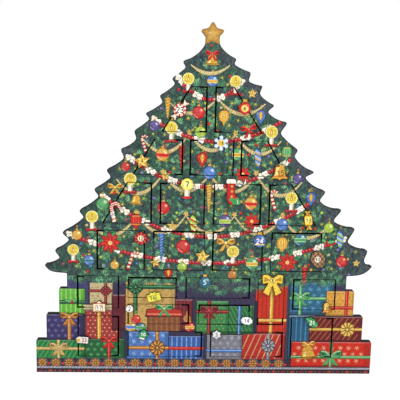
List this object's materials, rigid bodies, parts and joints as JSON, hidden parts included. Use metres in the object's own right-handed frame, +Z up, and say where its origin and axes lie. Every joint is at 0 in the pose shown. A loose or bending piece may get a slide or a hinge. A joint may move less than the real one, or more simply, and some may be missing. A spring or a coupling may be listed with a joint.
{
  "type": "advent calendar",
  "caption": "Standing advent calendar: a flat fir-tree front with hinged numbered doors over shallow compartments, on a plinth, closed by a hardboard back",
  "frame": {"origin": "middle of the foot, at the centre of the whole box in X and Y", "axes": "+X to the viewer's right, +Y from the front to the back, +Z up"},
  "size_m": [0.46, 0.0502, 0.4704],
  "materials": {
    "front_print": "printed paper over fibreboard, satin",
    "door_print": "printed paper over fibreboard, satin",
    "tab_print": "printed paper over fibreboard, satin",
    "frame_wood": "bare thin board, matt",
    "back_board": "bare hardboard, matt"
  },
  "bodies": {
    "calendar_box": {"front_panel": "front_print", "row_1_frame": "frame_wood", "row_2_frame": "frame_wood", "row_3_frame": "frame_wood", "row_4_frame": "frame_wood", "lower_left_frame": "frame_wood", "lower_middle_frame": "frame_wood", "lower_right_frame": "frame_wood", "plinth": "frame_wood", "back_panel": "back_board"},
    "door_23_body": {"door_23": "door_print", "number_tab_23": "tab_print"},
    "door_06_body": {"door_06": "door_print", "number_tab_06": "tab_print"},
    "door_04_body": {"door_04": "door_print", "number_tab_04": "tab_print"},
    "door_18_body": {"door_18": "door_print", "number_tab_18": "tab_print"},
    "door_15_body": {"door_15": "door_print", "number_tab_15": "tab_print"},
    "door_20_body": {"door_20": "door_print", "number_tab_20": "tab_print"},
    "door_07_body": {"door_07": "door_print", "number_tab_07": "tab_print"},
    "door_01_body": {"door_01": "door_print", "number_tab_01": "tab_print"},
    "door_13_body": {"door_13": "door_print", "number_tab_13": "tab_print"},
    "door_12_body": {"door_12": "door_print", "number_tab_12": "tab_print"},
    "door_09_body": {"door_09": "door_print", "number_tab_09": "tab_print"},
    "door_24_body": {"door_24": "door_print", "number_tab_24": "tab_print"},
    "door_11_body": {"door_11": "door_print", "number_tab_11": "tab_print"},
    "door_17_body": {"door_17": "door_print", "number_tab_17": "tab_print"},
    "door_22_body": {"door_22": "door_print", "number_tab_22": "tab_print"},
    "door_16_body": {"door_16": "door_print", "number_tab_16": "tab_print"},
    "door_02_body": {"door_02": "door_print", "number_tab_02": "tab_print"},
    "door_10_body": {"door_10": "door_print", "number_tab_10": "tab_print"},
    "door_05_body": {"door_05": "door_print", "number_tab_05": "tab_print"},
    "door_14_body": {"door_14": "door_print", "number_tab_14": "tab_print"},
    "door_03_body": {"door_03": "door_print", "number_tab_03": "tab_print"},
    "door_08_body": {"door_08": "door_print", "number_tab_08": "tab_print"},
    "door_19_body": {"door_19": "door_print", "number_tab_19": "tab_print"},
    "door_21_body": {"door_21": "door_print", "number_tab_21": "tab_print"}
  },
  "joints": [
    {"name": "door_23_hinge", "type": "hinge", "parent": "calendar_box", "child": "door_23_body", "pos_m": [-0.0119, -0.01765, 0.36025], "axis": [0, 0, 1], "range_deg": [0, 90]},
    {"name": "door_06_hinge", "type": "hinge", "parent": "calendar_box", "child": "door_06_body", "pos_m": [0.01213, -0.01765, 0.36025], "axis": [0, 0, -1], "range_deg": [0, 90]},
    {"name": "door_04_hinge", "type": "hinge", "parent": "calendar_box", "child": "door_04_body", "pos_m": [-0.04226, -0.01765, 0.29765], "axis": [0, 0, 1], "range_deg": [0, 90]},
    {"name": "door_18_hinge", "type": "hinge", "parent": "calendar_box", "child": "door_18_body", "pos_m": [-0.01938, -0.01765, 0.29765], "axis": [0, 0, -1], "range_deg": [0, 90]},
    {"name": "door_15_hinge", "type": "hinge", "parent": "calendar_box", "child": "door_15_body", "pos_m": [0.04755, -0.01765, 0.29765], "axis": [0, 0, -1], "range_deg": [0, 90]},
    {"name": "door_20_hinge", "type": "hinge", "parent": "calendar_box", "child": "door_20_body", "pos_m": [-0.08228, -0.01765, 0.23625], "axis": [0, 0, 1], "range_deg": [0, 90]},
    {"name": "door_07_hinge", "type": "hinge", "parent": "calendar_box", "child": "door_07_body", "pos_m": [-0.05779, -0.01765, 0.23625], "axis": [0, 0, -1], "range_deg": [0, 90]},
    {"name": "door_01_hinge", "type": "hinge", "parent": "calendar_box", "child": "door_01_body", "pos_m": [0.06262, -0.01765, 0.23625], "axis": [0, 0, 1], "range_deg": [0, 90]},
    {"name": "door_13_hinge", "type": "hinge", "parent": "calendar_box", "child": "door_13_body", "pos_m": [0.08688, -0.01765, 0.23625], "axis": [0, 0, -1], "range_deg": [0, 90]},
    {"name": "door_12_hinge", "type": "hinge", "parent": "calendar_box", "child": "door_12_body", "pos_m": [-0.14105, -0.01765, 0.1724], "axis": [0, 0, -1], "range_deg": [0, 90]},
    {"name": "door_09_hinge", "type": "hinge", "parent": "calendar_box", "child": "door_09_body", "pos_m": [-0.03864, -0.01765, 0.1922], "axis": [-1, 0, 0], "range_deg": [0, 90]},
    {"name": "door_24_hinge", "type": "hinge", "parent": "calendar_box", "child": "door_24_body", "pos_m": [0.01305, -0.01765, 0.1724], "axis": [0, 0, -1], "range_deg": [0, 90]},
    {"name": "door_11_hinge", "type": "hinge", "parent": "calendar_box", "child": "door_11_body", "pos_m": [0.11925, -0.01765, 0.1922], "axis": [-1, 0, 0], "range_deg": [0, 90]},
    {"name": "door_17_hinge", "type": "hinge", "parent": "calendar_box", "child": "door_17_body", "pos_m": [-0.16727, -0.01765, 0.1144], "axis": [0, 0, -1], "range_deg": [0, 90]},
    {"name": "door_22_hinge", "type": "hinge", "parent": "calendar_box", "child": "door_22_body", "pos_m": [-0.12506, -0.01765, 0.05215], "axis": [0, 0, 1], "range_deg": [0, 90]},
    {"name": "door_16_hinge", "type": "hinge", "parent": "calendar_box", "child": "door_16_body", "pos_m": [-0.07337, -0.01765, 0.1285], "axis": [-1, 0, 0], "range_deg": [0, 90]},
    {"name": "door_02_hinge", "type": "hinge", "parent": "calendar_box", "child": "door_02_body", "pos_m": [-0.0303, -0.01765, 0.08405], "axis": [0, 0, 1], "range_deg": [0, 90]},
    {"name": "door_10_hinge", "type": "hinge", "parent": "calendar_box", "child": "door_10_body", "pos_m": [-0.0119, -0.01765, 0.04155], "axis": [0, 0, 1], "range_deg": [0, 90]},
    {"name": "door_05_hinge", "type": "hinge", "parent": "calendar_box", "child": "door_05_body", "pos_m": [0.05158, -0.01765, 0.12125], "axis": [0, 0, 1], "range_deg": [0, 90]},
    {"name": "door_14_hinge", "type": "hinge", "parent": "calendar_box", "child": "door_14_body", "pos_m": [0.02438, -0.01765, 0.0911], "axis": [-1, 0, 0], "range_deg": [0, 90]},
    {"name": "door_03_hinge", "type": "hinge", "parent": "calendar_box", "child": "door_03_body", "pos_m": [0.09896, -0.01765, 0.04155], "axis": [0, 0, 1], "range_deg": [0, 90]},
    {"name": "door_08_hinge", "type": "hinge", "parent": "calendar_box", "child": "door_08_body", "pos_m": [0.08775, -0.01765, 0.077], "axis": [1, 0, 0], "range_deg": [0, 90]},
    {"name": "door_19_hinge", "type": "hinge", "parent": "calendar_box", "child": "door_19_body", "pos_m": [0.12414, -0.01765, 0.1135], "axis": [0, 0, -1], "range_deg": [0, 90]},
    {"name": "door_21_hinge", "type": "hinge", "parent": "calendar_box", "child": "door_21_body", "pos_m": [0.16773, -0.01765, 0.05215], "axis": [0, 0, 1], "range_deg": [0, 90]}
  ]
}
